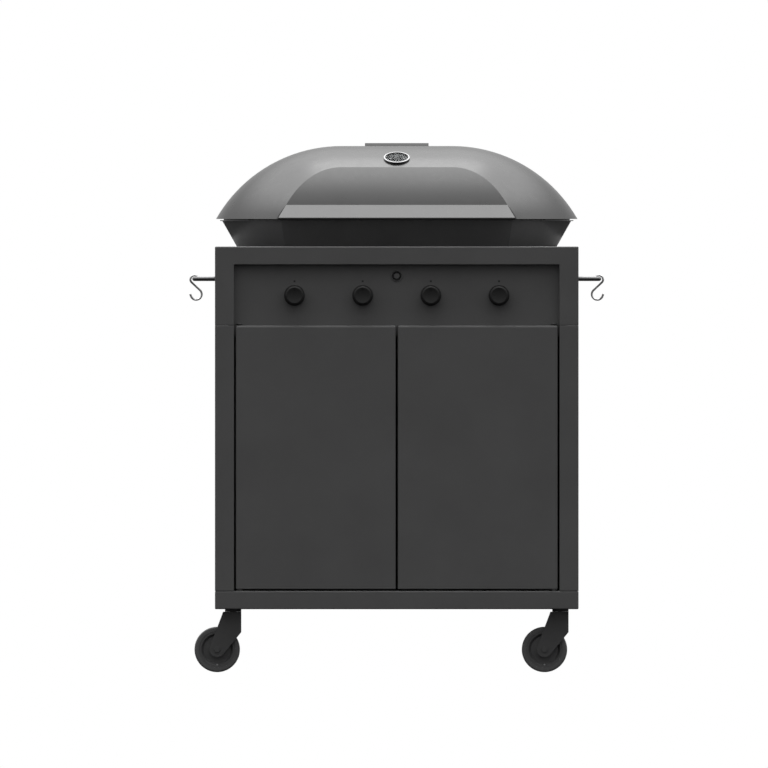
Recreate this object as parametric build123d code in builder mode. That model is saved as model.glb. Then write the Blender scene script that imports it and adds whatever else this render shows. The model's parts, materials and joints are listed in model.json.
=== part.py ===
from build123d import *
from math import asin, atan2, cos, degrees, hypot, radians, sin, sqrt, tan

# Flat top gas griddle with a domed lid, on a wheeled sheet-metal cabinet.
# Millimetres. +X is to the right, +Y goes to the back and +Z is up. The origin is on the
# floor, under the centre of the whole object.

# Cabinet
cabinet_width = 800
cabinet_depth = 560
cabinet_bottom = 138.5
plinth_height = 40
head_bottom = 763
cabinet_top = 936.5
sheet = 1.5
bend = 3
plinth_rim = 16
stile_width = 42
stile_return = 18
rear_flange = 20
seam = 0.05
fold_round = 2.5
edge_round = 1.2
cover_inset = 10
cover_slot_length = 140
cover_slot_width = 7
cover_slot_pitch = 20
cover_slot_columns = 300
cover_slot_rows = 6

# Control panel, set back into the front
recess = 20
top_rail_height = 39.5
panel_bottom = 740
panel_top = 910
panel_half_width = 372
panel_flange = 15
knob_hole_radius = 8

# Doors
door_gap = 4
door_centre_gap = 4.5
door_bottom_gap = 4.5
door_thickness = 16
door_top_bend = 5
door_return = 14
fold_gap = 0.1
pivot_inset = 8
pivot_radius = 3
running_gap = 0.05
loose_gap = 0.3
pivot_collar_radius = 6.5
pivot_depth = 8
lug_rise = 2.5
lug_thickness = 2
lug_radius = 6
magnet_x = 26
magnet_width = 36
magnet_height = 10
magnet_drop = 8
magnet_corner = 2

# Knobs, valves and burners
knob_pitch = 150
knob_z = 829
knob_radius = 20
knob_front = 296
knob_dish_radius = 16.5
knob_dish_depth = 1.8
knob_depth = 27.7
knob_round = 3.5
pointer_drop = 8
pointer_length = 9
pointer_width = 1.8
pointer_depth = 2.6
socket_depth = 19
knob_travel = 3
bezel_radius = 22.8
bezel_height = 5
bezel_round = 1.5
stem_radius = 4
stem_length = 40
stem_back = 17
stem_flat_height = 3
stem_flat_length = 24
stem_flat_margin = 1
sleeve_radius = 7
sleeve_length = 6
sleeve_clearance = 0.2
valve_width = 26
valve_height = 30
valve_depth = 26
valve_corner = 4
valve_outlet_radius = 5
valve_outlet = 24
stem_bore_depth = 22
manifold_z = 805
manifold_y = -238
manifold_radius = 9
manifold_end = 250
manifold_bend = 30
inlet_x = -310
inlet_radius = 5
inlet_step = 4
inlet_hole_radius = 16
burner_radius = 12
burner_wall = 1.2
burner_z = 950.6
burner_back = 195
burner_front = -212
burner_rise = (-150, -60)
burner_bend = 40
burner_cap = 2
port_middle = 80
port_pitch = 22
port_count = 11
port_radius = 2
electrode_side = 20
electrode_y = -30
electrode_radius = 4
electrode_low = -25
electrode_high = 3
spark_radius = 1.2
spark_length = 12
tab_width = 5
tab_length = 6
tab_thickness = 2

# Igniter
igniter_z = 871.5
igniter_radius = 12.6
igniter_height = 2
igniter_round = 0.8
igniter_sleeve = 11.5
igniter_sleeve_depth = 22
igniter_cup_radius = 10.3
igniter_cup_depth = 10
button_radius = 6.5
button_height = 3
button_length = 18.5
button_round = 1
module_width = 34
module_height = 40
module_depth = 30
module_corner = 4

# Bowl and griddle plate: a slot in plan, cut straight across at the front
end_offset = 122
bowl_base_radius = 230
bowl_base_chord = 194
bowl_taper = 29.5
bowl_top = 994.5
bowl_wall = 2
bowl_flange = 40
plate_radius = 246
plate_chord = 210
plate_bottom = 975
plate_thickness = 6
splash_height = 11
splash_wall = 3
bowl_lip = 4
cross_rail_width = 3
cross_rail_height = 30
drain_length = 60
drain_width = 22
drain_wall = 2
drain_corner = 4
spout_clearance = 6

# Lid: part of a ball on each end of part of a cylinder, cut by a bent facet at the front
dome_radius = 317
dome_centre = 840.6
rim_z = 997
lid_sheet = 1.5
lid_hem = 18.5
skirt_wall = 1.5
skirt_drop = 3.5
facet_wall = 2.4
cut_margin = 10
facet_top = (-165.4, 1111)
facet_middle = (-196, 1074.5)
facet_crease = (-225, 1028)
facet_foot = (-236, rim_z)
lip_nose = -256
lip_half_top = 243.5
lip_half_foot = 262
lip_edge = 3
lip_end_wall = 6
lip_wall = 2
vent_half_width = 70
vent_front = 25
vent_back = 95
vent_top = 1164
vent_slope = 6
vent_height = 40
vent_slot_length = 40
vent_slot_width = 8
vent_slot_pitch = 24
vent_slot_count = 5
gauge_tilt = 66
gauge_radius = 29
gauge_rim = 3.5
gauge_top = 3.6
gauge_round = 1.2
gauge_floor = 0.5
gauge_foot = 4
dial_thickness = 0.6
needle_gap = 0.4
needle_thickness = 0.5
needle_length = 19
needle_tail = 6
needle_half_width = 1.2
needle_half_tip = 0.4
needle_hub_radius = 2.6
spindle_radius = 1.5
spindle_hole_radius = 2
spindle_depth = 1.3
glass_height = 2.4
glass_thickness = 0.6
probe_radius = 3
probe_hole_radius = 5
probe_length = 40
hinge_x = 100
hinge_y = 284
hinge_z = 1001
hinge_pin_radius = 4
hinge_head_radius = 6
hinge_head_length = 2.5
hinge_pin_end = 2
leaf_half_width = 8
leaf_radius = 7.5
leaf_outline = ((-3, 6.8), (-22, 42), (-40, 42), (-20, -2), (0, -6))
ear_reach = 11
ear_radius = 6.5
ear_gap = 8.3
bracket_foot = 2.5
bracket_front = 258
bracket_shoulder = 268
bracket_rise = 20
bumper_radius = 3
bumper_angle = 40
bumper_offset = 1

# Grease tray, which slides out at the back
tray_half_width = 90
tray_front = 110
tray_bottom = 868
tray_top = 904
tray_corner = 8
tray_floor_round = 4
tray_clearance = 2
cover_margin = 11
cover_corner = 4
pull_width = 120
pull_depth = 13
pull_rise = 7
runner_foot = 14
runner_thickness = 2
runner_height = 14.6
runner_offset = 3
drain_y = 172

# Side rails and their hooks
rail_x = 445
rail_z = 865.5
rail_radius = 5
rail_half_length = 200
rail_bend = 14
rail_stud_radius = 3
rail_stud_length = 12
rail_nut_radius = 6
rail_nut_height = 5
hook_wire = 2.2
hook_top_radius = 9
hook_bottom_radius = 12.2
hook_drop = 32.5
hook_shift = 3.7
hook_y = -150
hook_begin = 50
hook_end = -160
hook_tip = 5
hook_round = 0.5

# Casters, trailing towards -X
caster_x = 360
caster_y = 225
caster_trail = 35
wheel_radius = 50
hub_radius = 40
wheel_half_width = 12
fork_top = 133
fork_bridge = 5
fork_leg_inner = 15
fork_leg_outer = 18.5
fork_boss_radius = 17
fork_rear = -22
fork_nose = 18
fork_nose_height = 45
top_plate_radius = 18
kingpin_radius = 6
kingpin_low = 11
kingpin_high = 14
rivet_rim = 3
rivet_height = 4
nut_radius = 10
nut_height = 8
axle_radius = 4
axle_head_radius = 7
axle_head_height = 3
wheel_face = ((14, 11), (6, 15), (5, 30), (11, 35))
tyre_round = 4

# Screws that hold the back panels
screw_x = 389
screw_heights = (200, 470, 740, 785, 915)
screw_radius = 2
screw_length = 7
screw_head_radius = 5
screw_head_height = 2.4
screw_head_round = 1

# Worked out from the driving dimensions
half_width = cabinet_width / 2
front = -cabinet_depth / 2
back = cabinet_depth / 2
plinth_top = cabinet_bottom + plinth_height
panel_front = front + recess
window_half_width = half_width - stile_width
window_top = cabinet_top - top_rail_height
knob_spots = [(knob_pitch * step, knob_z) for step in (-1.5, -0.5, 0.5, 1.5)]
caster_spots = [(x, y) for y in (-caster_y, caster_y) for x in (-caster_x, caster_x)]
pivot_x = window_half_width - door_gap - pivot_inset
pivot_y = front + door_thickness / 2
screw_spots = [(x, z) for x in (-screw_x, screw_x) for z in screw_heights]


def front_plane(x=0.0, y=0.0, z=0.0):
    """A sketch plane seen from the front: right is +X, up is +Z, out is -Y."""
    return Plane(origin=(x, y, z), x_dir=(1, 0, 0), z_dir=(0, -1, 0))


def side_plane(x=0.0, y=0.0, z=0.0):
    """A sketch plane across the width: right is +Y, up is +Z, out is +X."""
    return Plane(origin=(x, y, z), x_dir=(0, 1, 0), z_dir=(1, 0, 0))


def save(builder, name):
    builder.part.label = name
    export_step(builder.part, f"parts/{name}.step")


def drill_screw_holes():
    """The holes of the screws that hold the back panels, from the back."""
    with BuildSketch(front_plane(y=back)) as holes:
        with Locations(*screw_spots):
            Circle(screw_radius + running_gap)
    extrude(holes.sketch, amount=screw_length, both=True, mode=Mode.SUBTRACT)


def slot_outline(radius, chord):
    """A slot with round ends of this radius, cut straight across at the front."""
    SlotCenterToCenter(2 * end_offset, 2 * radius)
    with Locations((0, -chord)):
        Rectangle(4 * radius, 2 * radius, align=(Align.CENTER, Align.MAX), mode=Mode.SUBTRACT)


def dome_section(radius, floor):
    """Half of the dome's upright section, from its flat floor up to the top."""
    start = degrees(asin((floor - dome_centre) / radius))
    with BuildLine() as outline:
        arc = CenterArc((0, dome_centre), radius, start, 90 - start)
        Polyline(arc @ 1, (0, floor), arc @ 0)
    make_face(outline.edges())


def dome(radius, floor, mode=Mode.ADD):
    """A solid dome of this radius above a flat floor."""
    with BuildSketch(side_plane()) as middle:
        dome_section(radius, floor)
        mirror(about=Plane.YZ)
    extrude(middle.sketch, amount=end_offset, both=True, mode=mode)
    for side in (-1, 1):
        with BuildSketch(side_plane(x=side * end_offset)) as end:
            dome_section(radius, floor)
        revolve(
            end.sketch,
            axis=Axis((side * end_offset, 0, 0), (0, 0, -side)),
            revolution_arc=180,
            mode=mode,
        )


def cut_front(inset):
    """Cuts the dome's front back to the facet, or to a surface this far behind it."""
    reach = 2 * dome_radius
    with BuildSketch(side_plane(y=inset)) as region:
        with BuildLine():
            facet = ThreePointArc(facet_top, facet_middle, facet_crease)
            # The cut goes on past the dome in line with the facet's top
            above = Vector(*facet_top) - (facet % 0) * dome_radius / 5
            Polyline(
                facet @ 1,
                facet_foot,
                (facet_foot[0], rim_z - cut_margin),
                (-reach, rim_z - cut_margin),
                (-reach, above.Y),
                (above.X, above.Y),
                facet @ 0,
            )
        make_face()
    extrude(region.sketch, amount=reach, both=True, mode=Mode.SUBTRACT)


# ---------------------------------------------------------------- cabinet

with BuildPart() as base_tray:
    with BuildSketch(Plane.XY.offset(cabinet_bottom)):
        RectangleRounded(cabinet_width, cabinet_depth, bend)
    extrude(amount=plinth_height)
    fillet(base_tray.edges().group_by(Axis.Z)[0], fold_round)
    fillet(base_tray.edges().group_by(Axis.Z)[-1], fold_round)
    with BuildSketch(Plane.XY.offset(cabinet_bottom + sheet)):
        RectangleRounded(cabinet_width - 2 * sheet, cabinet_depth - 2 * sheet, bend - sheet)
    extrude(amount=plinth_height - 2 * sheet, mode=Mode.SUBTRACT)
    with BuildSketch(Plane.XY.offset(plinth_top - sheet)):
        Rectangle(cabinet_width - 2 * plinth_rim, cabinet_depth - 2 * plinth_rim)
    extrude(amount=sheet, mode=Mode.SUBTRACT)
    with BuildSketch(Plane.XY.offset(cabinet_bottom)):
        with Locations(*caster_spots):
            Circle(kingpin_radius + running_gap)
    extrude(amount=sheet, mode=Mode.SUBTRACT)
save(base_tray, "base_tray")

for side, name in ((-1, "side_panel_left"), (1, "side_panel_right")):
    with BuildPart() as side_panel:
        with BuildSketch(Plane.XY.offset(plinth_top)):
            with Locations((side * (half_width - stile_width / 2), front + sheet / 2)):
                Rectangle(stile_width, sheet)
            with Locations((side * (half_width - sheet / 2), 0)):
                Rectangle(sheet, cabinet_depth)
            with Locations((side * (window_half_width + sheet / 2), front + stile_return / 2)):
                Rectangle(sheet, stile_return)
            with Locations((side * (half_width - rear_flange / 2), back - sheet / 2)):
                Rectangle(rear_flange, sheet)
        extrude(amount=head_bottom - plinth_top - seam)
        corners = side_panel.edges().filter_by(Axis.Z).filter_by(
            lambda edge: abs(edge.center().X) > half_width - sheet / 2
        )
        fillet(corners, bend)
        fillet(side_panel.edges().filter_by(Axis.Z).group_by(Axis.Y)[0], edge_round)
        front_edges = side_panel.edges().filter_by(Axis.X).group_by(Axis.Y)[0]
        fillet(front_edges.group_by(Axis.Z)[-1], edge_round)
        drill_screw_holes()
    save(side_panel, name)

with BuildPart() as back_panel:
    with BuildSketch(front_plane(y=back - sheet)):
        with Locations((0, (plinth_top + head_bottom) / 2)):
            Rectangle(2 * (half_width - cover_inset), head_bottom - plinth_top - 2 * seam)
            with GridLocations(cover_slot_columns, cover_slot_pitch, 2, cover_slot_rows):
                SlotOverall(cover_slot_length, cover_slot_width, mode=Mode.SUBTRACT)
    extrude(amount=sheet)
    drill_screw_holes()
save(back_panel, "back_panel")

with BuildPart() as head_housing:
    with BuildSketch(Plane.XY.offset(head_bottom)):
        RectangleRounded(cabinet_width, cabinet_depth, bend)
    extrude(amount=cabinet_top - head_bottom)
    fillet(head_housing.edges().group_by(Axis.Z)[-1], fold_round)
    with BuildSketch(Plane.XY.offset(head_bottom)):
        RectangleRounded(cabinet_width - 2 * sheet, cabinet_depth - 2 * sheet, bend - sheet)
    extrude(amount=cabinet_top - head_bottom - sheet, mode=Mode.SUBTRACT)
    # The window of the control panel, with a folded edge round it
    with BuildSketch(front_plane(y=front)):
        with Locations((0, head_bottom)):
            Rectangle(
                2 * window_half_width,
                window_top - head_bottom,
                align=(Align.CENTER, Align.MIN),
            )
    extrude(amount=-sheet, mode=Mode.SUBTRACT)
    with BuildSketch(front_plane(y=front)):
        with Locations((0, head_bottom)):
            Rectangle(
                2 * (window_half_width + sheet),
                window_top - head_bottom + sheet,
                align=(Align.CENTER, Align.MIN),
            )
            Rectangle(
                2 * window_half_width,
                window_top - head_bottom,
                align=(Align.CENTER, Align.MIN),
                mode=Mode.SUBTRACT,
            )
    extrude(amount=-recess)
    # The rear wall is open between two flanges and a top rail
    with BuildSketch(front_plane(y=back)):
        with Locations((0, head_bottom)):
            Rectangle(
                2 * (half_width - rear_flange),
                cabinet_top - head_bottom - rear_flange,
                align=(Align.CENTER, Align.MIN),
            )
    extrude(amount=sheet, mode=Mode.SUBTRACT)
    with BuildSketch(Plane.XY.offset(cabinet_top)):
        slot_outline(bowl_base_radius - bowl_flange, bowl_base_chord - bowl_flange)
    extrude(amount=-sheet, mode=Mode.SUBTRACT)
    with BuildSketch(side_plane()):
        with Locations((-rail_half_length, rail_z), (rail_half_length, rail_z)):
            Circle(rail_stud_radius + running_gap)
    extrude(amount=half_width, both=True, mode=Mode.SUBTRACT)
    drill_screw_holes()
save(head_housing, "head_housing")

with BuildPart() as head_rear_panel:
    with BuildSketch(front_plane(y=back - sheet)):
        with Locations((0, head_bottom + seam)):
            Rectangle(
                2 * (half_width - cover_inset),
                cabinet_top - head_bottom - 2 * sheet - seam,
                align=(Align.CENTER, Align.MIN),
            )
        with Locations((0, (tray_bottom + tray_top) / 2)):
            Rectangle(
                2 * (tray_half_width + tray_clearance),
                tray_top - tray_bottom + 2 * tray_clearance,
                mode=Mode.SUBTRACT,
            )
        with Locations((inlet_x, manifold_z)):
            Circle(inlet_hole_radius, mode=Mode.SUBTRACT)
    extrude(amount=sheet)
    drill_screw_holes()
save(head_rear_panel, "head_rear_panel")

with BuildPart() as control_panel:
    with BuildSketch(side_plane()):
        with Locations((panel_front, panel_bottom)):
            Rectangle(sheet, panel_top - panel_bottom, align=(Align.MIN, Align.MIN))
            Rectangle(panel_flange, sheet, align=(Align.MIN, Align.MIN))
        with Locations((panel_front, panel_top)):
            Rectangle(panel_flange, sheet, align=(Align.MIN, Align.MAX))
    extrude(amount=panel_half_width, both=True)
    with BuildSketch(front_plane(y=panel_front)):
        with Locations(*knob_spots):
            Circle(knob_hole_radius)
        with Locations((0, igniter_z)):
            Circle(igniter_sleeve + sleeve_clearance)
    extrude(amount=-sheet, mode=Mode.SUBTRACT)
save(control_panel, "control_panel")

# ---------------------------------------------------------------- gas and ignition

with BuildPart() as knob_bezels:
    with BuildSketch(front_plane(y=panel_front)):
        with Locations(*knob_spots):
            Circle(bezel_radius)
            Circle(sleeve_radius + sleeve_clearance, mode=Mode.SUBTRACT)
    extrude(amount=bezel_height)
    fillet(knob_bezels.edges().filter_by(GeomType.CIRCLE).group_by(Axis.Y)[0], bezel_round)
save(knob_bezels, "knob_bezels")

with BuildPart() as gas_valves:
    valve_front = panel_front + sheet
    with BuildSketch(front_plane(y=valve_front)):
        with Locations(*knob_spots):
            RectangleRounded(valve_width, valve_height, valve_corner)
    extrude(amount=-valve_depth)
    with BuildSketch(front_plane(y=valve_front)):
        with Locations(*knob_spots):
            Circle(sleeve_radius)
    extrude(amount=sleeve_length)
    with BuildSketch(front_plane(y=valve_front + valve_depth)):
        with Locations(*knob_spots):
            Circle(valve_outlet_radius)
    extrude(amount=-valve_outlet)
    with BuildSketch(front_plane(y=valve_front - sleeve_length)):
        with Locations(*knob_spots):
            Circle(stem_radius + running_gap)
    extrude(amount=-stem_bore_depth, mode=Mode.SUBTRACT)
save(gas_valves, "gas_valves")

with BuildPart() as gas_manifold:
    inlet_shoulder = back - inlet_step
    with BuildLine(Plane.XY.offset(manifold_z)) as run:
        FilletPolyline(
            (manifold_end, manifold_y),
            (inlet_x, manifold_y),
            (inlet_x, inlet_shoulder),
            radius=manifold_bend,
        )
    with BuildSketch(Plane(origin=run.line @ 0, z_dir=run.line % 0)):
        Circle(manifold_radius)
    sweep()
    with BuildSketch(front_plane(inlet_x, inlet_shoulder, manifold_z)):
        Circle(inlet_radius)
    extrude(amount=-(knob_front - inlet_shoulder))
save(gas_manifold, "gas_manifold")

with BuildPart() as burners:
    for x, _ in knob_spots:
        with BuildLine(side_plane(x=x)) as route:
            FilletPolyline(
                (burner_front, knob_z),
                (burner_rise[0], knob_z),
                (burner_rise[1], burner_z),
                (burner_back, burner_z),
                radius=burner_bend,
            )
        with BuildSketch(front_plane(x, burner_front, knob_z)):
            Circle(burner_radius)
            Circle(burner_radius - burner_wall, mode=Mode.SUBTRACT)
        sweep(path=route.line)
        with BuildSketch(front_plane(x, burner_back, burner_z)):
            Circle(burner_radius)
        extrude(amount=-burner_cap)
    with BuildSketch(side_plane()):
        with Locations((port_middle, burner_z)):
            with GridLocations(port_pitch, 1, port_count, 1):
                Circle(port_radius)
    extrude(amount=half_width, both=True, mode=Mode.SUBTRACT)
save(burners, "burners")

with BuildPart() as igniter_bezel:
    with BuildSketch(front_plane(y=panel_front)):
        with Locations((0, igniter_z)):
            Circle(igniter_radius)
    extrude(amount=igniter_height)
    fillet(igniter_bezel.edges().filter_by(GeomType.CIRCLE).group_by(Axis.Y)[0], igniter_round)
    with BuildSketch(front_plane(y=panel_front)):
        with Locations((0, igniter_z)):
            Circle(igniter_sleeve)
    extrude(amount=-igniter_sleeve_depth)
    # An open cup round the button, and the bore that guides the button
    with BuildSketch(front_plane(y=panel_front - igniter_height)):
        with Locations((0, igniter_z)):
            Circle(igniter_cup_radius)
    extrude(amount=-igniter_height - igniter_cup_depth, mode=Mode.SUBTRACT)
    with BuildSketch(front_plane(y=panel_front)):
        with Locations((0, igniter_z)):
            Circle(button_radius + running_gap)
    extrude(amount=-igniter_sleeve_depth, mode=Mode.SUBTRACT)
save(igniter_bezel, "igniter_bezel")

with BuildPart() as igniter_button:
    with BuildSketch(front_plane(y=panel_front - button_height)):
        with Locations((0, igniter_z)):
            Circle(button_radius)
    extrude(amount=-button_length)
    fillet(igniter_button.edges().filter_by(GeomType.CIRCLE).group_by(Axis.Y)[0], button_round)
save(igniter_button, "igniter_button")

with BuildPart() as spark_module:
    with BuildSketch(front_plane(y=panel_front + igniter_sleeve_depth)):
        with Locations((0, igniter_z)):
            RectangleRounded(module_width, module_height, module_corner)
    extrude(amount=-module_depth)
save(spark_module, "spark_module")

with BuildPart() as electrodes:
    for x, _ in knob_spots:
        with BuildSketch(Plane.XY.offset(burner_z + electrode_low)):
            with Locations((x + electrode_side, electrode_y)):
                Circle(electrode_radius)
        extrude(amount=electrode_high - electrode_low)
        with BuildSketch(Plane.XY.offset(burner_z + electrode_high)):
            with Locations((x + electrode_side, electrode_y)):
                Circle(spark_radius)
        extrude(amount=spark_length)
        with BuildSketch(Plane.XY.offset(burner_z - tab_thickness / 2)):
            with Locations((x + burner_radius, electrode_y)):
                Rectangle(tab_length, tab_width, align=(Align.MIN, Align.CENTER))
        extrude(amount=tab_thickness)
save(electrodes, "electrodes")

# ---------------------------------------------------------------- cooking top

# The space inside the bowl: above the foot flange, round two cross rails under the plate
with BuildPart() as bowl_hollow:
    bowl_slope = tan(radians(bowl_taper))
    inset = bowl_wall * (1 - bowl_slope)
    with BuildSketch(Plane.XY.offset(cabinet_top)):
        slot_outline(bowl_base_radius - bowl_flange, bowl_base_chord - bowl_flange)
    extrude(amount=bowl_wall)
    with BuildSketch(Plane.XY.offset(cabinet_top + bowl_wall)):
        slot_outline(bowl_base_radius - inset, bowl_base_chord - inset)
    extrude(amount=bowl_top - cabinet_top - bowl_wall, taper=-bowl_taper)
    with BuildSketch(Plane.XY.offset(plate_bottom - cross_rail_height)):
        with Locations((-knob_pitch, 0), (knob_pitch, 0)):
            Rectangle(cross_rail_width, cabinet_depth)
    extrude(amount=cross_rail_height, mode=Mode.SUBTRACT)

with BuildPart() as griddle_bowl:
    with BuildSketch(Plane.XY.offset(cabinet_top)):
        slot_outline(bowl_base_radius, bowl_base_chord)
    extrude(amount=bowl_top - cabinet_top, taper=-bowl_taper)
    spread = (bowl_top - cabinet_top) * bowl_slope
    with BuildSketch(Plane.XY.offset(bowl_top - bowl_wall)):
        slot_outline(bowl_base_radius + spread + bowl_lip, bowl_base_chord + spread + bowl_lip)
    extrude(amount=bowl_wall)
    add(bowl_hollow.part, mode=Mode.SUBTRACT)
save(griddle_bowl, "griddle_bowl")

with BuildPart() as griddle_plate:
    plate_top = plate_bottom + plate_thickness
    with BuildSketch(Plane.XY.offset(plate_bottom)):
        slot_outline(plate_radius, plate_chord)
    extrude(amount=plate_thickness + splash_height)
    with BuildSketch(Plane.XY.offset(plate_top)):
        slot_outline(plate_radius - splash_wall, plate_chord - splash_wall)
    extrude(amount=splash_height, mode=Mode.SUBTRACT)
    # The drain and the spout that is welded under it
    spout_bottom = tray_top + spout_clearance
    with BuildSketch(Plane.XY.offset(plate_bottom)):
        with Locations((0, drain_y)):
            RectangleRounded(
                drain_length + 2 * drain_wall,
                drain_width + 2 * drain_wall,
                drain_corner + drain_wall,
            )
    extrude(amount=spout_bottom - plate_bottom)
    with BuildSketch(Plane.XY.offset(plate_top)):
        with Locations((0, drain_y)):
            RectangleRounded(drain_length, drain_width, drain_corner)
    extrude(amount=spout_bottom - plate_top, mode=Mode.SUBTRACT)
save(griddle_plate, "griddle_plate")

with BuildPart() as tray_runners:
    panel_inside = back - 2 * sheet
    runner_low = tray_bottom - loose_gap - runner_thickness
    with BuildSketch(front_plane(y=panel_inside)):
        for side in (-1, 1):
            with Locations((side * (tray_half_width - runner_offset), tray_bottom - loose_gap)):
                Rectangle(runner_foot, runner_thickness, align=(Align.CENTER, Align.MAX))
            with Locations((side * (tray_half_width + runner_offset), runner_low)):
                Rectangle(runner_thickness, runner_height, align=(Align.CENTER, Align.MIN))
    extrude(amount=panel_inside - tray_front)
save(tray_runners, "tray_runners")

with BuildPart() as grease_tray:
    tray_back = back + loose_gap
    tray_middle = (tray_bottom + tray_top) / 2
    with BuildSketch(Plane.XY.offset(tray_bottom)):
        with Locations((0, (tray_front + tray_back) / 2)):
            RectangleRounded(2 * tray_half_width, tray_back - tray_front, tray_corner)
    extrude(amount=tray_top - tray_bottom)
    fillet(grease_tray.edges().group_by(Axis.Z)[0], tray_floor_round)
    offset(amount=-sheet, openings=grease_tray.faces().sort_by(Axis.Z)[-1])
    # The cover that closes the slot in the back, folded out at its top as a pull
    with BuildSketch(front_plane(y=tray_back)):
        with Locations((0, tray_middle)):
            RectangleRounded(
                2 * (tray_half_width + cover_margin),
                tray_top - tray_bottom + 2 * cover_margin,
                cover_corner,
            )
    extrude(amount=-sheet)
    with BuildSketch(Plane.XY.offset(tray_top + pull_rise)):
        with Locations((0, tray_back)):
            Rectangle(pull_width, pull_depth, align=(Align.CENTER, Align.MIN))
    extrude(amount=sheet)
save(grease_tray, "grease_tray")

# ---------------------------------------------------------------- lid

gauge_y = -dome_radius * cos(radians(gauge_tilt))
gauge_z = dome_centre + dome_radius * sin(radians(gauge_tilt))
gauge_out = Vector(0, -cos(radians(gauge_tilt)), sin(radians(gauge_tilt)))


def gauge_plane(height=0.0):
    """A sketch plane on the dome where the thermometer sits, facing out of the dome."""
    origin = Vector(0, gauge_y, gauge_z) + gauge_out * height
    return Plane(origin=origin, x_dir=(1, 0, 0), z_dir=gauge_out)


rim_radius = sqrt(dome_radius**2 - (rim_z - dome_centre) ** 2)
rim_chord = -facet_foot[0]

with BuildPart() as lid_hollow:
    dome(dome_radius - lid_sheet, rim_z + lid_sheet)
    cut_front(facet_wall)
    with BuildSketch(Plane.XY.offset(rim_z)):
        slot_outline(rim_radius - lid_hem, rim_chord - lid_hem)
    extrude(amount=lid_sheet)

with BuildPart() as lid_shell:
    dome(dome_radius, rim_z)
    cut_front(0)
    add(lid_hollow.part, mode=Mode.SUBTRACT)
    # A skirt that hangs inside the bowl's rim
    with BuildSketch(Plane.XY.offset(rim_z)):
        slot_outline(rim_radius - lid_hem + skirt_wall, rim_chord - lid_hem + skirt_wall)
    extrude(amount=-skirt_drop)
    with BuildSketch(Plane.XY.offset(rim_z)):
        slot_outline(rim_radius - lid_hem, rim_chord - lid_hem)
    extrude(amount=-skirt_drop, mode=Mode.SUBTRACT)
    with BuildSketch(gauge_plane()):
        Circle(probe_hole_radius)
    extrude(amount=probe_hole_radius, both=True, mode=Mode.SUBTRACT)
    # Vents under the cap
    with BuildSketch(Plane.XY.offset(dome_centre + dome_radius)):
        with Locations((0, (vent_front + vent_back) / 2)):
            with GridLocations(vent_slot_pitch, 1, vent_slot_count, 1):
                SlotOverall(vent_slot_length, vent_slot_width, rotation=90)
    extrude(amount=-vent_height, mode=Mode.SUBTRACT)
save(lid_shell, "lid_shell")

with BuildPart() as lid_handle_lip:
    with BuildSketch(side_plane()):
        Polygon(
            facet_crease,
            (lip_nose, rim_z + lip_edge),
            (lip_nose, rim_z),
            facet_foot,
            align=None,
        )
    extrude(amount=lip_half_foot, both=True)
    with BuildSketch(side_plane()):
        Polygon(
            (facet_crease[0] - lip_edge, facet_crease[1] - 3 * lip_wall),
            (lip_nose + lip_wall, rim_z + lip_wall),
            (lip_nose + lip_wall, rim_z - lip_wall),
            (facet_foot[0] - lid_sheet, rim_z - lip_wall),
            (facet_foot[0] - lid_sheet, rim_z),
            align=None,
        )
    extrude(amount=lip_half_foot - lip_end_wall, both=True, mode=Mode.SUBTRACT)
    with BuildSketch(front_plane()):
        Polygon(
            (-lip_half_foot, rim_z),
            (lip_half_foot, rim_z),
            (lip_half_top, facet_crease[1]),
            (-lip_half_top, facet_crease[1]),
            align=None,
        )
    extrude(amount=cabinet_depth, mode=Mode.INTERSECT)
save(lid_handle_lip, "lid_handle_lip")



def vent_profile(wall):
    """The cap's upright section, or that of the space inside this wall."""
    with BuildLine() as outline:
        Polyline(
            (vent_front + wall, vent_top - vent_height),
            (vent_front + wall, vent_top - vent_slope - wall / 2),
            (vent_front + vent_slope + wall / 2, vent_top - wall),
            (vent_back + wall, vent_top - wall),
            (vent_back + wall, vent_top - vent_height),
            close=True,
        )
    make_face(outline.edges())


with BuildPart() as lid_vent_cap:
    with BuildSketch(side_plane()):
        vent_profile(0)
    extrude(amount=vent_half_width, both=True)
    # Open underneath and at the back
    with BuildSketch(side_plane()):
        vent_profile(sheet)
    extrude(amount=vent_half_width - sheet, both=True, mode=Mode.SUBTRACT)
    dome(dome_radius, rim_z, mode=Mode.SUBTRACT)
save(lid_vent_cap, "lid_vent_cap")

gauge_inner = gauge_radius - gauge_rim
with BuildPart() as thermometer_bezel:
    with BuildSketch(gauge_plane(-gauge_foot)):
        Circle(gauge_radius)
    extrude(amount=gauge_foot + gauge_top)
    rim_face = thermometer_bezel.faces().sort_by(Axis(gauge_plane().origin, gauge_out))[-1]
    fillet(rim_face.edges(), gauge_round)
    with BuildSketch(gauge_plane(gauge_floor)):
        Circle(gauge_inner)
    extrude(amount=gauge_top, mode=Mode.SUBTRACT)
    dome(dome_radius, rim_z, mode=Mode.SUBTRACT)
    # The probe that reaches into the lid
    with BuildSketch(gauge_plane(gauge_floor)):
        Circle(probe_radius)
    extrude(amount=-probe_length)
    with BuildSketch(gauge_plane(gauge_floor)):
        Circle(spindle_hole_radius)
    extrude(amount=-spindle_depth, mode=Mode.SUBTRACT)
save(thermometer_bezel, "thermometer_bezel")

with BuildPart() as thermometer_dial:
    with BuildSketch(gauge_plane(gauge_floor)):
        Circle(gauge_inner)
        Circle(spindle_radius + running_gap, mode=Mode.SUBTRACT)
    extrude(amount=dial_thickness)
save(thermometer_dial, "thermometer_dial")

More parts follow.
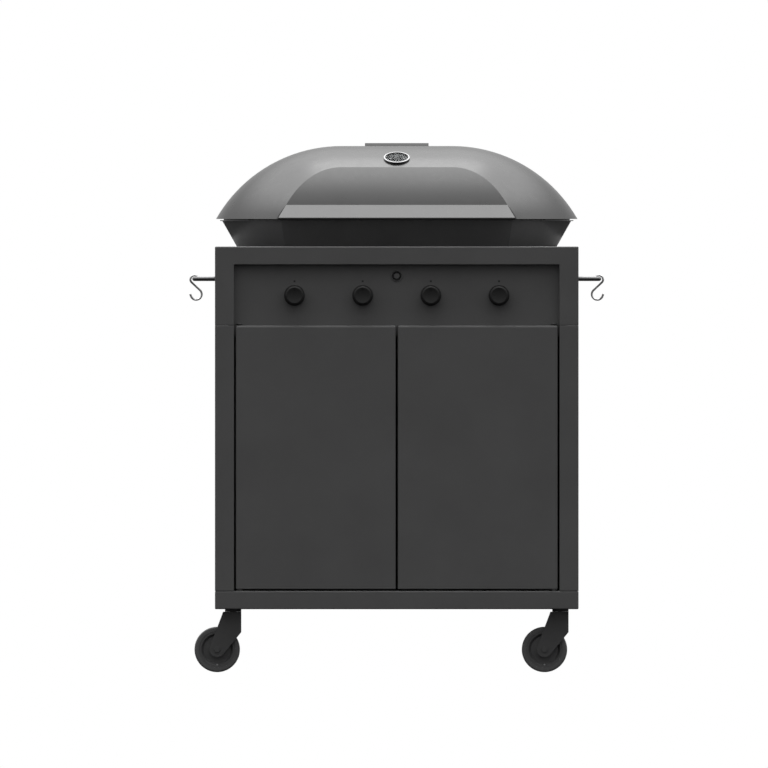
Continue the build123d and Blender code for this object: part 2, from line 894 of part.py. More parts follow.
needle_height = gauge_floor + dial_thickness + needle_gap
with BuildPart() as thermometer_needle:
    with BuildSketch(gauge_plane(needle_height)):
        Circle(needle_hub_radius)
        Polygon(
            (-needle_half_width, -needle_tail),
            (needle_half_width, -needle_tail),
            (needle_half_tip, needle_length),
            (-needle_half_tip, needle_length),
            align=None,
        )
    extrude(amount=needle_thickness)
    with BuildSketch(gauge_plane(needle_height)):
        Circle(spindle_radius)
    extrude(amount=gauge_floor - spindle_depth / 2 - needle_height)
save(thermometer_needle, "thermometer_needle")

with BuildPart() as thermometer_glass:
    with BuildSketch(gauge_plane(glass_height)):
        Circle(gauge_inner)
    extrude(amount=glass_thickness)
save(thermometer_glass, "thermometer_glass")

with BuildPart() as lid_hinge_leaves:
    with BuildSketch(side_plane(y=hinge_y, z=hinge_z)):
        Circle(leaf_radius)
        Polygon(*leaf_outline, align=None)
    extrude(amount=hinge_x + leaf_half_width, both=True)
    with BuildSketch(side_plane(y=hinge_y, z=hinge_z)):
        Rectangle(dome_radius, dome_radius)
    extrude(amount=hinge_x - leaf_half_width, both=True, mode=Mode.SUBTRACT)
    dome(dome_radius, rim_z, mode=Mode.SUBTRACT)
    with BuildSketch(side_plane(y=hinge_y, z=hinge_z)):
        Circle(hinge_pin_radius + running_gap)
    extrude(amount=half_width, both=True, mode=Mode.SUBTRACT)
save(lid_hinge_leaves, "lid_hinge_leaves")

with BuildPart() as hinge_brackets:
    with BuildSketch(side_plane()):
        with BuildLine():
            Polyline(
                (bracket_front, cabinet_top),
                (back, cabinet_top),
                (back, cabinet_top + bracket_rise),
                (hinge_y + ear_radius, hinge_z - bracket_rise),
                (hinge_y + ear_radius, hinge_z),
            )
            CenterArc((hinge_y, hinge_z), ear_radius, 0, 180)
            Polyline(
                (hinge_y - ear_radius, hinge_z),
                (hinge_y - ear_radius, hinge_z - bracket_rise),
                (bracket_shoulder, cabinet_top + bracket_rise),
                (bracket_front, cabinet_top),
            )
        make_face()
    extrude(amount=hinge_x + ear_reach, both=True)
    with BuildSketch(side_plane()):
        Rectangle(3 * dome_radius, 3 * cabinet_top)
    extrude(amount=hinge_x - ear_reach, both=True, mode=Mode.SUBTRACT)
    # Each bracket is two ears on a foot
    with BuildSketch(Plane.XY.offset(cabinet_top + bracket_foot)):
        with Locations((-hinge_x, 0), (hinge_x, 0)):
            Rectangle(2 * ear_gap, 2 * knob_front)
    extrude(amount=vent_top - cabinet_top, mode=Mode.SUBTRACT)
    with BuildSketch(side_plane(y=hinge_y, z=hinge_z)):
        Circle(hinge_pin_radius)
    extrude(amount=half_width, both=True, mode=Mode.SUBTRACT)
save(hinge_brackets, "hinge_brackets")

with BuildPart() as hinge_pins:
    with BuildSketch(side_plane(hinge_x - ear_reach - hinge_pin_end, hinge_y, hinge_z)):
        Circle(hinge_pin_radius)
    extrude(amount=2 * (ear_reach + hinge_pin_end))
    with BuildSketch(side_plane(hinge_x + ear_reach, hinge_y, hinge_z)):
        Circle(hinge_head_radius)
    extrude(amount=hinge_head_length)
    mirror(about=Plane.YZ)
save(hinge_pins, "hinge_pins")

with BuildPart() as lid_bumpers:
    bumper_reach = bowl_base_radius + spread + bumper_offset
    bumper_x = end_offset + bumper_reach * cos(radians(bumper_angle))
    bumper_y = bumper_reach * sin(radians(bumper_angle))
    with BuildSketch(Plane.XY.offset(bowl_top)):
        with GridLocations(2 * bumper_x, 2 * bumper_y, 2, 2):
            Circle(bumper_radius)
    extrude(amount=rim_z - bowl_top - loose_gap)
save(lid_bumpers, "lid_bumpers")

# ---------------------------------------------------------------- controls that turn

knob_back = knob_depth - knob_front
dish_ball = (knob_dish_radius**2 + knob_dish_depth**2) / (2 * knob_dish_depth)
for number, (x, z) in enumerate(knob_spots, start=1):
    with BuildPart() as valve_stem:
        with BuildSketch(front_plane(y=panel_front + stem_back)):
            with Locations((x, z)):
                Circle(stem_radius)
        extrude(amount=stem_length)
        # The flat that drives the knob
        with BuildSketch(front_plane(y=knob_back + knob_travel + stem_flat_margin)):
            with Locations((x, z - stem_flat_height)):
                Rectangle(2 * stem_radius, stem_radius, align=(Align.CENTER, Align.MAX))
        extrude(amount=stem_flat_length, mode=Mode.SUBTRACT)
    save(valve_stem, f"valve_stem_{number}")

    with BuildPart() as knob:
        with BuildSketch(front_plane(y=knob_back)):
            with Locations((x, z)):
                Circle(knob_radius)
        extrude(amount=knob_depth)
        fillet(knob.edges().group_by(Axis.Y)[0], knob_round)
        # A round dish in the face, with a short pointer groove
        with Locations((x, -knob_front - dish_ball + knob_dish_depth, z)):
            Sphere(dish_ball, mode=Mode.SUBTRACT)
        with BuildSketch(front_plane(y=-knob_front)):
            with Locations((x, z + knob_radius - pointer_drop)):
                SlotOverall(pointer_length, pointer_width, rotation=90)
        extrude(amount=-pointer_depth, mode=Mode.SUBTRACT)
        # The socket for the stem
        with BuildSketch(front_plane(y=knob_back)):
            with Locations((x, z)):
                Circle(stem_radius + running_gap)
            with Locations((x, z - stem_flat_height - sleeve_clearance)):
                Rectangle(
                    3 * stem_radius,
                    stem_radius,
                    align=(Align.CENTER, Align.MAX),
                    mode=Mode.SUBTRACT,
                )
        extrude(amount=socket_depth, mode=Mode.SUBTRACT)
    save(knob, f"knob_{number}")

# ---------------------------------------------------------------- doors

with BuildPart() as door_pivots:
    with BuildSketch(Plane.XY.offset(plinth_top)):
        with Locations((-pivot_x, pivot_y), (pivot_x, pivot_y)):
            Circle(pivot_collar_radius)
    extrude(amount=door_gap)
    with BuildSketch(Plane.XY.offset(plinth_top)):
        with Locations((-pivot_x, pivot_y), (pivot_x, pivot_y)):
            Circle(pivot_radius)
    extrude(amount=door_gap + pivot_depth)
    # The upper pins hang from lugs on the control panel
    with BuildSketch(Plane.XY.offset(head_bottom + lug_rise)):
        with Locations((-pivot_x, pivot_y), (pivot_x, pivot_y)):
            Circle(lug_radius)
            Rectangle(
                2 * lug_radius,
                panel_front - pivot_y,
                align=(Align.CENTER, Align.MIN),
            )
    extrude(amount=lug_thickness)
    with BuildSketch(Plane.XY.offset(head_bottom + lug_rise)):
        with Locations((-pivot_x, pivot_y), (pivot_x, pivot_y)):
            Circle(pivot_radius)
    extrude(amount=-lug_rise - pivot_depth)
save(door_pivots, "door_pivots")

door_bottom = plinth_top + door_bottom_gap
door_width = window_half_width - door_gap - door_centre_gap / 2
door_height = head_bottom - door_bottom
for side, name in ((-1, "door_left"), (1, "door_right")):
    door_x = side * (door_centre_gap / 2 + door_width / 2)
    with BuildPart() as door:
        with BuildSketch(front_plane(y=front)):
            with Locations((door_x, door_bottom)):
                Rectangle(door_width, door_height, align=(Align.CENTER, Align.MIN))
        extrude(amount=-door_thickness)
        face_edges = door.edges().group_by(Axis.Y)[0]
        fillet(face_edges.sort_by(Axis.Z)[-1], door_top_bend)
        fillet(door.edges().filter_by(Axis.Z).group_by(Axis.Y)[0], bend)
        offset(amount=-sheet, openings=door.faces().sort_by(Axis.Y)[-1])
        # The fold round the open back
        with BuildSketch(front_plane(y=front + door_thickness)):
            with Locations((door_x, door_bottom + door_height / 2)):
                Rectangle(door_width - 2 * fold_gap, door_height - 2 * fold_gap)
                Rectangle(
                    door_width - 2 * door_return,
                    door_height - 2 * door_return,
                    mode=Mode.SUBTRACT,
                )
        extrude(amount=sheet)
        with BuildSketch(Plane.XY.offset(door_bottom)):
            with Locations((side * pivot_x, pivot_y)):
                Circle(pivot_radius + running_gap)
        extrude(amount=door_height, mode=Mode.SUBTRACT)
    save(door, name)

with BuildPart() as door_magnets:
    magnet_front = front + door_thickness + loose_gap
    with BuildSketch(front_plane(y=magnet_front)):
        with Locations((0, head_bottom - magnet_drop)):
            with GridLocations(2 * magnet_x, 1, 2, 1):
                RectangleRounded(magnet_width, magnet_height, magnet_corner)
    extrude(amount=magnet_front - panel_front)
save(door_magnets, "door_magnets")

# ---------------------------------------------------------------- side rails and hooks

for side, name in ((-1, "side_rail_left"), (1, "side_rail_right")):
    with BuildPart() as side_rail:
        with BuildLine(Plane.XY.offset(rail_z)) as route:
            FilletPolyline(
                (side * half_width, -rail_half_length),
                (side * rail_x, -rail_half_length),
                (side * rail_x, rail_half_length),
                (side * half_width, rail_half_length),
                radius=rail_bend,
            )
        with BuildSketch(Plane(origin=route.line @ 0, z_dir=route.line % 0)):
            Circle(rail_radius)
        sweep()
        # Studs that go through the cabinet's side
        with BuildSketch(side_plane(x=side * half_width)):
            with Locations((-rail_half_length, rail_z), (rail_half_length, rail_z)):
                Circle(rail_stud_radius)
        extrude(amount=-side * rail_stud_length)
    save(side_rail, name)


def ring_point(centre, radius, angle):
    """The point of a circle at this angle, in degrees."""
    x, y = centre
    return (x + radius * cos(radians(angle)), y + radius * sin(radians(angle)))


hook_lean = atan2(hook_shift, hook_drop)
hook_cross = asin((hook_top_radius + hook_bottom_radius) / hypot(hook_shift, hook_drop))
hook_slope = degrees(hook_lean + hook_cross)
hook_centre_z = rail_z + rail_radius + loose_gap + hook_wire - hook_top_radius
for side, name in ((-1, "hook_left"), (1, "hook_right")):
    # Right is towards the cabinet in this plane, whichever side the hook is on
    hook_plane = Plane(
        origin=(side * rail_x, hook_y, hook_centre_z),
        x_dir=(-side, 0, 0),
        z_dir=(0, side, 0),
    )
    top = (0, 0)
    low = (hook_shift, -hook_drop)
    tip = ring_point(low, hook_bottom_radius, hook_end)
    with BuildPart() as hook:
        with BuildLine(hook_plane) as wire:
            CenterArc(top, hook_top_radius, hook_begin, 180 + hook_slope - hook_begin)
            Line(
                ring_point(top, hook_top_radius, 180 + hook_slope),
                ring_point(low, hook_bottom_radius, hook_slope),
            )
            CenterArc(low, hook_bottom_radius, hook_slope, hook_end - hook_slope)
            Line(tip, ring_point(tip, hook_tip, hook_end - 90))
        with BuildSketch(Plane(origin=wire.line @ 0, z_dir=wire.line % 0)):
            Circle(hook_wire)
        sweep()
        wire_ends = hook.edges().filter_by(GeomType.CIRCLE).filter_by(
            lambda edge: edge.length < 7 * hook_wire
        )
        fillet(wire_ends, hook_round)
    save(hook, name)

# ---------------------------------------------------------------- casters

with BuildPart() as caster_stems:
    with BuildSketch(Plane.XY.offset(cabinet_bottom)):
        with Locations(*caster_spots):
            Circle(top_plate_radius)
    extrude(amount=fork_top + running_gap - cabinet_bottom)
    with BuildSketch(Plane.XY.offset(fork_top - kingpin_low)):
        with Locations(*caster_spots):
            Circle(kingpin_radius)
    extrude(amount=cabinet_bottom + kingpin_high - fork_top + kingpin_low)
    # The rivet head under the fork and the nut on top of the floor
    with BuildSketch(Plane.XY.offset(fork_top - fork_bridge - running_gap)):
        with Locations(*caster_spots):
            Circle(kingpin_radius + rivet_rim)
    extrude(amount=-rivet_height)
    with BuildSketch(Plane.XY.offset(cabinet_bottom + sheet)):
        with Locations(*caster_spots):
            RegularPolygon(nut_radius, 6)
    extrude(amount=nut_height)
save(caster_stems, "caster_stems")

for number, (x, y) in enumerate(caster_spots, start=1):
    wheel_x = x - caster_trail
    with BuildPart() as caster_fork:
        with BuildSketch(front_plane(x, y)):
            with Locations((-caster_trail, wheel_radius)):
                Circle(fork_boss_radius)
            Polygon(
                (fork_rear, fork_top),
                (fork_nose, fork_top),
                (fork_nose, fork_top - fork_nose_height),
                align=None,
            )
            make_hull()
        extrude(amount=fork_leg_outer, both=True)
        with BuildSketch(side_plane(x, y)):
            Rectangle(2 * fork_leg_inner, 2 * (fork_top - fork_bridge))
        extrude(amount=caster_x, both=True, mode=Mode.SUBTRACT)
        with BuildSketch(front_plane(wheel_x, y)):
            with Locations((0, wheel_radius)):
                Circle(axle_radius)
        extrude(amount=2 * fork_leg_outer, both=True, mode=Mode.SUBTRACT)
        with BuildSketch(Plane.XY.offset(fork_top)):
            with Locations((x, y)):
                Circle(kingpin_radius + running_gap)
        extrude(amount=-fork_bridge, mode=Mode.SUBTRACT)
    with BuildPart() as caster_axle:
        with BuildSketch(front_plane(wheel_x, y)):
            with Locations((0, wheel_radius)):
                Circle(axle_radius)
        extrude(amount=fork_leg_outer, both=True)
        for out in (-1, 1):
            with BuildSketch(front_plane(wheel_x, y - out * fork_leg_outer)):
                with Locations((0, wheel_radius)):
                    RegularPolygon(axle_head_radius, 6)
            extrude(amount=out * axle_head_height)
    fork_and_axle = Compound(children=[*caster_fork.part.solids(), *caster_axle.part.solids()])
    fork_and_axle.label = f"caster_fork_{number}"
    export_step(fork_and_axle, f"parts/caster_fork_{number}.step")

    axis = Axis((wheel_x, y, wheel_radius), (0, 1, 0))
    with BuildPart() as caster_wheel:
        with BuildSketch(side_plane(wheel_x, y, wheel_radius)):
            with BuildLine():
                Polyline(
                    (0, axle_radius + running_gap),
                    (wheel_face[0][0], axle_radius + running_gap),
                    *wheel_face,
                    (wheel_face[-1][0], hub_radius),
                    (0, hub_radius),
                    close=True,
                )
            make_face()
            mirror(about=Plane.YZ)
        revolve(axis=axis)
    save(caster_wheel, f"caster_wheel_{number}")

    with BuildPart() as caster_tyre:
        with BuildSketch(side_plane(wheel_x, y, wheel_radius)):
            with Locations((0, (hub_radius + wheel_radius) / 2)):
                Rectangle(2 * wheel_half_width, wheel_radius - hub_radius)
        revolve(axis=axis)
        outer = caster_tyre.faces().sort_by(SortBy.AREA)[-1]
        fillet(outer.edges().filter_by(GeomType.CIRCLE), tyre_round)
    save(caster_tyre, f"caster_tyre_{number}")

# ---------------------------------------------------------------- screws and nuts

with BuildPart() as fasteners:
    with BuildSketch(front_plane(y=back)):
        with Locations(*screw_spots):
            Circle(screw_head_radius)
    extrude(amount=-screw_head_height)
    fillet(fasteners.edges().group_by(Axis.Y)[-1], screw_head_round)
    with BuildSketch(front_plane(y=back)):
        with Locations(*screw_spots):
            Circle(screw_radius)
    extrude(amount=screw_length)
    for side in (-1, 1):
        with BuildSketch(side_plane(x=side * (half_width - sheet))):
            with Locations((-rail_half_length, rail_z), (rail_half_length, rail_z)):
                RegularPolygon(rail_nut_radius, 6)
                Circle(rail_stud_radius, mode=Mode.SUBTRACT)
        extrude(amount=-side * rail_nut_height)
save(fasteners, "fasteners")
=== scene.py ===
import json
import math

import bmesh
import bpy
from mathutils import Matrix, Vector


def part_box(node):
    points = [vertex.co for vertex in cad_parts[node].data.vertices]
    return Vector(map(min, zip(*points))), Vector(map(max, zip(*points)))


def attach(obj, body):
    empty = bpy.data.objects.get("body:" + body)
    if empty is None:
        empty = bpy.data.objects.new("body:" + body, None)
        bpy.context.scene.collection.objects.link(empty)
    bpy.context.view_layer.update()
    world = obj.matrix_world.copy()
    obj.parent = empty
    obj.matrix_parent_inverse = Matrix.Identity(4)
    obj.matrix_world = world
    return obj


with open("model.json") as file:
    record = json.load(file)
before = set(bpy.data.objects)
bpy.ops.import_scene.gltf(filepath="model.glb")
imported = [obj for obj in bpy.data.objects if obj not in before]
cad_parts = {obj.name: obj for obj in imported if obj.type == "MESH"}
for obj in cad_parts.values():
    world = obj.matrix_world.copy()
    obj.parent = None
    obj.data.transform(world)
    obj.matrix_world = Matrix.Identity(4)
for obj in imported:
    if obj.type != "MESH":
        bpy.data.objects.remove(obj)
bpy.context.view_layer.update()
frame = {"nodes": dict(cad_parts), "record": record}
nodes = frame["nodes"]
scene = bpy.context.scene
MM = 0.001
RIGHT = Vector((1, 0, 0))
UP = Vector((0, 0, 1))

# ---------------------------------------------------------------- materials

CLOUD_SCALE = 9.0
BLOTCH_CELLS = 9
GRAIN_SHARE = 0.6
TONE_RANGE = (0.5, 1.1)
GLOSS_RANGE = (0.3, 0.7)


def finish(name, colour, spread, rough, cell, relief, stretch=(1, 1, 1), edge=0.6, **sockets):
    """A surface whose colour, roughness and relief vary over it.

    colour is linear, and gets lighter and darker by spread. rough is the lowest and highest
    roughness. cell is the size of one grain, relief is its height and edge is the radius that
    catches the light on sharp corners, all in mm. stretch draws the grain out along an axis.
    """
    material = bpy.data.materials.new(name)
    material.use_nodes = True
    tree = material.node_tree
    shader = tree.nodes["Principled BSDF"]
    for socket, value in sockets.items():
        shader.inputs[socket.replace("_", " ")].default_value = value

    def node(kind, inputs, **settings):
        made = tree.nodes.new(kind)
        for key, value in settings.items():
            setattr(made, key, value)
        for key, value in inputs.items():
            if isinstance(value, bpy.types.NodeSocket):
                tree.links.new(value, made.inputs[key])
            else:
                made.inputs[key].default_value = value
        return made

    place = node("ShaderNodeTexCoord", {}).outputs["Object"]
    drawn = node("ShaderNodeMapping", {"Vector": place, "Scale": stretch}).outputs["Vector"]
    fine = 1 / (cell * MM)
    cloud = node(
        "ShaderNodeTexNoise", {"Vector": place, "Scale": CLOUD_SCALE, "Detail": 3.0}
    )
    grain = node("ShaderNodeTexNoise", {"Vector": drawn, "Scale": fine, "Detail": 2.0})
    blotch = node(
        "ShaderNodeTexNoise", {"Vector": drawn, "Scale": fine / BLOTCH_CELLS, "Detail": 4.0}
    )
    both = node(
        "ShaderNodeMath",
        {0: grain.outputs["Fac"], 1: GRAIN_SHARE, 2: cloud.outputs["Fac"]},
        operation="MULTIPLY_ADD",
    )
    share = node(
        "ShaderNodeMapRange",
        {
            "Value": both.outputs[0],
            "From Min": TONE_RANGE[0],
            "From Max": TONE_RANGE[1],
        },
    )
    mix = node(
        "ShaderNodeMixRGB",
        {
            "Fac": share.outputs["Result"],
            "Color1": (*[c * (1 - spread) for c in colour], 1),
            "Color2": (*[min(1, c * (1 + spread)) for c in colour], 1),
        },
    )
    tree.links.new(mix.outputs["Color"], shader.inputs["Base Color"])
    gloss = node(
        "ShaderNodeMapRange",
        {
            "Value": blotch.outputs["Fac"],
            "From Min": GLOSS_RANGE[0],
            "From Max": GLOSS_RANGE[1],
            "To Min": rough[0],
            "To Max": rough[1],
        },
    )
    tree.links.new(gloss.outputs["Result"], shader.inputs["Roughness"])
    corner = node("ShaderNodeBevel", {"Radius": edge * MM}, samples=4)
    bump = node(
        "ShaderNodeBump",
        {
            "Height": grain.outputs["Fac"],
            "Distance": relief * MM,
            "Normal": corner.outputs["Normal"],
        },
    )
    tree.links.new(bump.outputs["Normal"], shader.inputs["Normal"])
    return material


materials = {
    "charcoal": finish(
        "charcoal_powder_coat", (0.117, 0.117, 0.1175), 0.07, (0.4, 0.5), 1.4, 0.02,
        edge=3, Specular_IOR_Level=0.4,
    ),
    "lid_paint": finish(
        "lid_satin_metallic", (0.1, 0.1, 0.1), 0.03, (0.27, 0.32), 1.6, 0.002,
        edge=0.1, Metallic=1.0, Specular_Tint=(0.66, 0.66, 0.66, 1),
    ),
    "vent_paint": finish(
        "vent_satin_metallic", (0.055, 0.055, 0.055), 0.05, (0.3, 0.36), 1.6, 0.004,
        edge=0.1, Metallic=1.0,
    ),
    "black_enamel": finish(
        "bowl_black_enamel", (0.12, 0.12, 0.121), 0.15, (0.3, 0.4), 2.2, 0.02,
        Coat_Weight=0.3, Coat_Roughness=0.3,
    ),
    "seasoned_steel": finish(
        "plate_seasoned_steel", (0.05, 0.043, 0.038), 0.45, (0.25, 0.55), 3.0, 0.03,
        Metallic=0.75,
    ),
    "polished_steel": finish(
        "polished_steel", (0.25, 0.25, 0.252), 0.03, (0.16, 0.24), 0.5, 0.002,
        stretch=(1, 0.06, 1), Metallic=1.0,
    ),
    "rail_steel": finish(
        "rail_dark_steel", (0.19, 0.19, 0.192), 0.06, (0.3, 0.4), 0.5, 0.003,
        stretch=(1, 0.06, 1), Metallic=1.0,
    ),
    "hook_steel": finish(
        "hook_grey_steel", (0.75, 0.75, 0.753), 0.05, (0.3, 0.4), 0.5, 0.003, Metallic=1.0,
    ),
    "plain_steel": finish(
        "plain_steel", (0.5, 0.5, 0.51), 0.08, (0.3, 0.45), 0.5, 0.006,
        stretch=(0.05, 1, 1), Metallic=1.0,
    ),
    "brass": finish(
        "valve_brass", (0.62, 0.43, 0.17), 0.1, (0.25, 0.4), 0.8, 0.008, Metallic=1.0,
    ),
    "black_plastic": finish(
        "black_grained_plastic", (0.022, 0.022, 0.022), 0.12, (0.42, 0.55), 0.6, 0.03,
        Specular_IOR_Level=0.3,
    ),
    "ceramic": finish("electrode_ceramic", (0.8, 0.79, 0.75), 0.03, (0.15, 0.25), 1.5, 0.01),
    "dial": finish(
        "dial_face", (0.03, 0.03, 0.031), 0.06, (0.55, 0.65), 0.5, 0.004, edge=0.1,
        Specular_IOR_Level=0.1,
    ),
    "glass": finish(
        "thermometer_glass", (0.95, 0.97, 0.97), 0.01, (0.01, 0.03), 4.0, 0.0005, edge=0.1,
        Transmission_Weight=1.0, IOR=1.05, Specular_IOR_Level=0.1,
    ),
    "rubber": finish("bumper_rubber", (0.02, 0.02, 0.02), 0.1, (0.65, 0.8), 0.5, 0.03),
    "caster_steel": finish(
        "caster_black_coat", (0.074, 0.074, 0.075), 0.1, (0.35, 0.45), 1.2, 0.02,
    ),
    "caster_plastic": finish(
        "caster_wheel_plastic", (0.092, 0.092, 0.093), 0.08, (0.4, 0.5), 0.8, 0.02,
    ),
    "tyre": finish("caster_tyre_rubber", (0.112, 0.112, 0.113), 0.12, (0.5, 0.65), 0.7, 0.04),
    "print_white": finish(
        "printed_white", (0.25, 0.25, 0.25), 0.04, (0.45, 0.55), 0.5, 0.004, edge=0.05,
    ),
    # This black is used twice: as real print on the off marks, and as painted shade for the
    # screw heads' cross recesses
    "print_black": finish(
        "black_print_and_painted_shade", (0.012, 0.012, 0.012), 0.1, (0.45, 0.55), 0.5, 0.004, edge=0.05,
    ),
}

# The rails and hooks are duller than the thermometer's bezel, and the vent cap than the lid
duller = {
    "lid_vent_cap": "vent_paint",
    "side_rail_left": "rail_steel", "side_rail_right": "rail_steel",
    "hook_left": "hook_steel", "hook_right": "hook_steel",
}
for row in frame["record"]["subparts"]:
    mesh = nodes[row["node"]].data
    mesh.materials.clear()
    mesh.materials.append(materials[duller.get(row["node"], row["material_slot"])])

# ---------------------------------------------------------------- pieces


def add_piece(name, boxes, body, material):
    """One piece made of closed blocks.

    Each block is (frame, centre, size): the centre is in the frame's own axes and the size is
    along them, all in mm. The frame is a matrix whose origin is in metres.
    """
    shape = bmesh.new()
    for place, centre, size in boxes:
        scale = Matrix.Diagonal((*[side * MM for side in size], 1))
        shift = Matrix.Translation([value * MM for value in centre])
        bmesh.ops.create_cube(shape, size=1, matrix=place @ shift @ scale)
    return add_mesh(name, shape, body, material)


def add_mesh(name, shape, body, material):
    """The piece that holds this shape, riding on the body."""
    mesh = bpy.data.meshes.new(name)
    shape.to_mesh(mesh)
    shape.free()
    mesh.materials.append(materials[material])
    piece = bpy.data.objects.new(name, mesh)
    scene.collection.objects.link(piece)
    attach(piece, body)
    return piece


def face_frame(x, y, z, right, up):
    """A frame at this place, in metres, whose first two axes point right and up."""
    out = right.cross(up)
    turn = Matrix((right, up, out)).transposed().to_4x4()
    return Matrix.Translation((x, y, z)) @ turn


# The off mark above each knob
MARK_RISE = 11
MARK_SIZE = (4, 4, 0.12)
panel_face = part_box("control_panel")[0][1]
for number in (1, 2, 3, 4):
    low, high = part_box(f"knob_{number}")
    mark_frame = face_frame((low[0] + high[0]) / 2, panel_face, high[2], RIGHT, UP)
    add_piece(
        f"off_mark_{number}",
        [(mark_frame, (0, MARK_RISE, 0), MARK_SIZE)],
        "root",
        "print_black",
    )

# Ticks and temperatures on the thermometer's dial
GAUGE_TILT = math.radians(66)
gauge_up = Vector((0, math.sin(GAUGE_TILT), math.cos(GAUGE_TILT)))
gauge_out = Vector((0, -math.cos(GAUGE_TILT), math.sin(GAUGE_TILT)))
dial_low, dial_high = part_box("thermometer_dial")
dial_middle = (Vector(dial_low) + Vector(dial_high)) / 2
DIAL_HALF = 0.3
dial_frame = face_frame(*(dial_middle + gauge_out * DIAL_HALF * MM), RIGHT, gauge_up)
PRINT = 0.05
TICKS = 21
TICK_START = 120
TICK_STEP = 12
LONG_EVERY = 4
LONG_TICK = 3.2
SHORT_TICK = 1.8
TICK_WIDTH = 0.45
TICK_RADIUS = 24.2
TEXT_RADIUS = 15.6
TEXT_START = 186
# The seven strokes of a figure: middle and size, for a figure of unit width and double height
strokes = {
    "a": ((0, 1), (1, 0)), "b": ((0.5, 0.5), (0, 1)), "c": ((0.5, -0.5), (0, 1)),
    "d": ((0, -1), (1, 0)), "e": ((-0.5, -0.5), (0, 1)), "f": ((-0.5, 0.5), (0, 1)),
    "g": ((0, 0), (1, 0)),
}
figures = {"0": "abcdef", "1": "bc", "2": "abged", "3": "abgcd", "4": "fgbc", "5": "afgcd"}
FIGURE = 1.5
FIGURE_PITCH = 2.4
STROKE = 0.25
dial_print = []
for step in range(TICKS):
    turn = Matrix.Rotation(math.radians(TICK_START - TICK_STEP * step), 4, "Z")
    length = SHORT_TICK if step % LONG_EVERY else LONG_TICK
    dial_print.append(
        (
            dial_frame @ turn,
            (0, TICK_RADIUS - length / 2, PRINT / 2),
            (TICK_WIDTH, length, PRINT),
        )
    )
for index, text in enumerate(("100", "200", "300", "400", "500")):
    angle = math.radians(TEXT_START - LONG_EVERY * TICK_STEP * index)
    across, along = TEXT_RADIUS * math.cos(angle), TEXT_RADIUS * math.sin(angle)
    for place, figure in enumerate(text):
        shift = (place - 1) * FIGURE_PITCH
        for stroke in figures[figure]:
            (u, v), (w, h) = strokes[stroke]
            dial_print.append(
                (
                    dial_frame,
                    (across + shift + u * FIGURE, along + v * FIGURE, PRINT / 2),
                    (w * FIGURE + STROKE, h * FIGURE + STROKE, PRINT),
                )
            )
add_piece("dial_print", dial_print, "lid", "print_white")

# A bright rivet in each face of each caster wheel, near its rim
RIVET_PLACE = 34
RIVET_OUT = 9.8
RIVET_FOOT = 2.4
RIVET_TOP = 1.6
RIVET_DEPTH = 2.4
for number in (1, 2, 3, 4):
    low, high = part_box(f"caster_wheel_{number}")
    middle = (Vector(low) + Vector(high)) / 2
    shape = bmesh.new()
    for out in (-1, 1):
        rivet = face_frame(
            middle.x, middle.y, middle.z - RIVET_PLACE * MM, RIGHT * -out, UP
        )
        bmesh.ops.create_cone(
            shape,
            cap_ends=True,
            segments=20,
            radius1=RIVET_FOOT * MM,
            radius2=RIVET_TOP * MM,
            depth=RIVET_DEPTH * MM,
            matrix=rivet @ Matrix.Translation((0, 0, RIVET_OUT * MM)),
        )
    add_mesh(f"wheel_rivet_{number}", shape, f"wheel_{number}", "plain_steel")

# The cross recess in the head of each screw at the back, drawn as a thin black cross on the
# head: painted shade where the recess is dark
SCREW_HEAD = 2.4
SCREW_X = 389
SCREW_HEIGHTS = (200, 470, 740, 785, 915)
CROSS_REACH = 2.2
CROSS_WIDTH = 1
CROSS_DEPTH = 0.1
ARM = CROSS_REACH / 2 + CROSS_WIDTH / 2
screw_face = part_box("back_panel")[1][1] + SCREW_HEAD * MM
recess_shade_blocks = []
for x in (-SCREW_X, SCREW_X):
    for z in SCREW_HEIGHTS:
        head = face_frame(x * MM, screw_face, z * MM, -RIGHT, UP)
        recess_shade_blocks.append((head, (0, 0, 0), (2 * CROSS_REACH, CROSS_WIDTH, CROSS_DEPTH)))
        for rise in (ARM, -ARM):
            recess_shade_blocks.append((head, (0, rise, 0), (CROSS_WIDTH, CROSS_REACH, CROSS_DEPTH)))
add_piece("screw_recess_painted_shade", recess_shade_blocks, "root", "print_black")

# ---------------------------------------------------------------- studio

VIEW_WIDTH = 1.6896
VIEW_PLACE = (-0.02805, -5, 0.634)
camera_data = bpy.data.cameras.new("camera")
camera_data.type = "ORTHO"
camera_data.ortho_scale = VIEW_WIDTH
camera_data.clip_end = 50
camera = bpy.data.objects.new("camera", camera_data)
camera.location = VIEW_PLACE
camera.rotation_euler = (math.radians(90), 0, 0)
scene.collection.objects.link(camera)
scene.camera = camera

scene.view_settings.view_transform = "Standard"


def softbox(name, place, aim, width, height, power):
    """A soft rectangular light."""
    light = bpy.data.lights.new(name, "AREA")
    light.shape = "RECTANGLE"
    light.size = width
    light.size_y = height
    light.energy = power
    lamp = bpy.data.objects.new(name, light)
    lamp.location = place
    lamp.rotation_mode = "QUATERNION"
    lamp.rotation_quaternion = (Vector(aim) - Vector(place)).to_track_quat("-Z", "Y")
    scene.collection.objects.link(lamp)


softbox("overhead", (0, 1.05, 3.6), (0, 0, 1.0), 1.6, 1.5, 15)

# A big bright dome of light above and a little behind, falling off to a dim horizon. The
# camera itself sees plain white.
SKY_CENTRE = math.radians(112)
SKY_TOP = 4.0
HORIZON = 0.03
GROUND_GLOW = 0.3
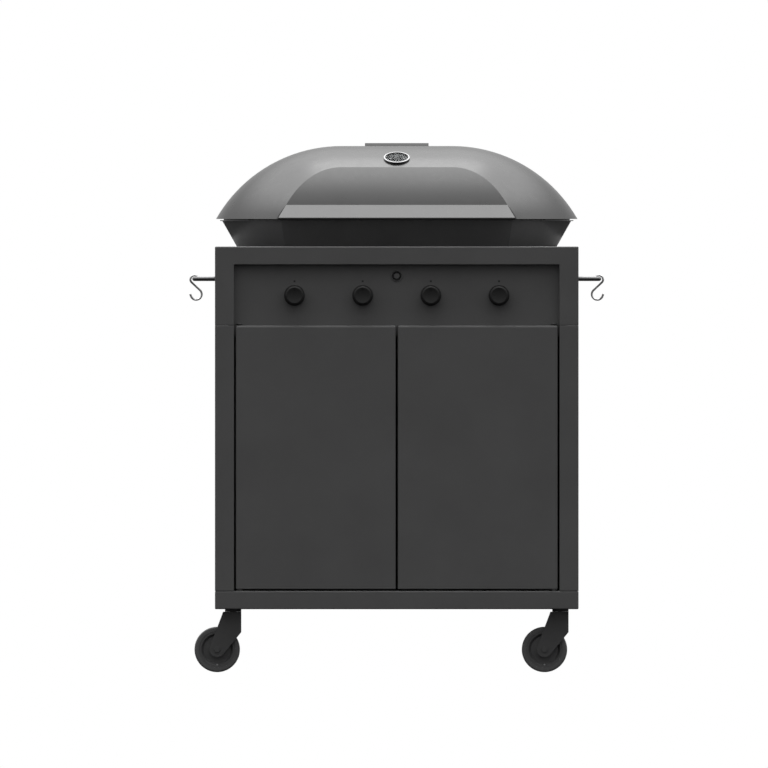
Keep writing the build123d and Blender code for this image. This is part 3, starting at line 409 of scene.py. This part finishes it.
# Pairs of angle from the bright centre, in degrees, and radiance
sky_steps = (
    (90, 0.42), (60, 0.9), (47, 1.2), (40, 2.3), (33, 3.15), (26, 3.2), (16, 3.2), (0, 3.4),
)
world = bpy.data.worlds.new("studio")
world.use_nodes = True
scene.world = world
sky = world.node_tree
seen = sky.nodes["Background"]
seen.inputs["Color"].default_value = (1, 1, 1, 1)
seen.inputs["Strength"].default_value = 1.0
direction = sky.nodes.new("ShaderNodeTexCoord").outputs["Generated"]
towards = sky.nodes.new("ShaderNodeVectorMath")
towards.operation = "DOT_PRODUCT"
towards.inputs[1].default_value = (0, -math.cos(SKY_CENTRE), math.sin(SKY_CENTRE))
ramp_node = sky.nodes.new("ShaderNodeValToRGB")
ramp = ramp_node.color_ramp
while len(ramp.elements) < len(sky_steps):
    ramp.elements.new(0.5)
for element, (angle, radiance) in zip(ramp.elements, sky_steps):
    element.position = math.cos(math.radians(angle))
    element.color = (radiance / SKY_TOP,) * 3 + (1,)
height = sky.nodes.new("ShaderNodeSeparateXYZ")
above = sky.nodes.new("ShaderNodeMapRange")
above.inputs["From Min"].default_value = -HORIZON
above.inputs["From Max"].default_value = HORIZON
above.inputs["To Min"].default_value = GROUND_GLOW
above.inputs["To Max"].default_value = SKY_TOP
ambient = sky.nodes.new("ShaderNodeBackground")
path = sky.nodes.new("ShaderNodeLightPath")
switch = sky.nodes.new("ShaderNodeMixShader")
sky.links.new(direction, towards.inputs[0])
sky.links.new(towards.outputs["Value"], ramp_node.inputs["Fac"])
sky.links.new(ramp_node.outputs["Color"], ambient.inputs["Color"])
sky.links.new(direction, height.inputs[0])
sky.links.new(height.outputs["Z"], above.inputs["Value"])
sky.links.new(above.outputs["Result"], ambient.inputs["Strength"])
sky.links.new(path.outputs["Is Camera Ray"], switch.inputs[0])
sky.links.new(ambient.outputs[0], switch.inputs[1])
sky.links.new(seen.outputs[0], switch.inputs[2])
sky.links.new(switch.outputs[0], sky.nodes["World Output"].inputs["Surface"])

FLOOR = 12
floor_mesh = bpy.data.meshes.new("floor")
floor_mesh.from_pydata(
    [(-FLOOR, -FLOOR, 0), (FLOOR, -FLOOR, 0), (FLOOR, FLOOR, 0), (-FLOOR, FLOOR, 0)],
    [],
    [(0, 1, 2, 3)],
)
floor = bpy.data.objects.new("floor", floor_mesh)
floor_mesh.materials.append(
    finish("pale_floor", (0.8, 0.8, 0.8), 0.01, (0.5, 0.6), 3.0, 0.01, edge=0.1)
)
scene.collection.objects.link(floor)
# The floor bounces no light up under the cabinet
floor.visible_diffuse = False
floor.visible_glossy = False
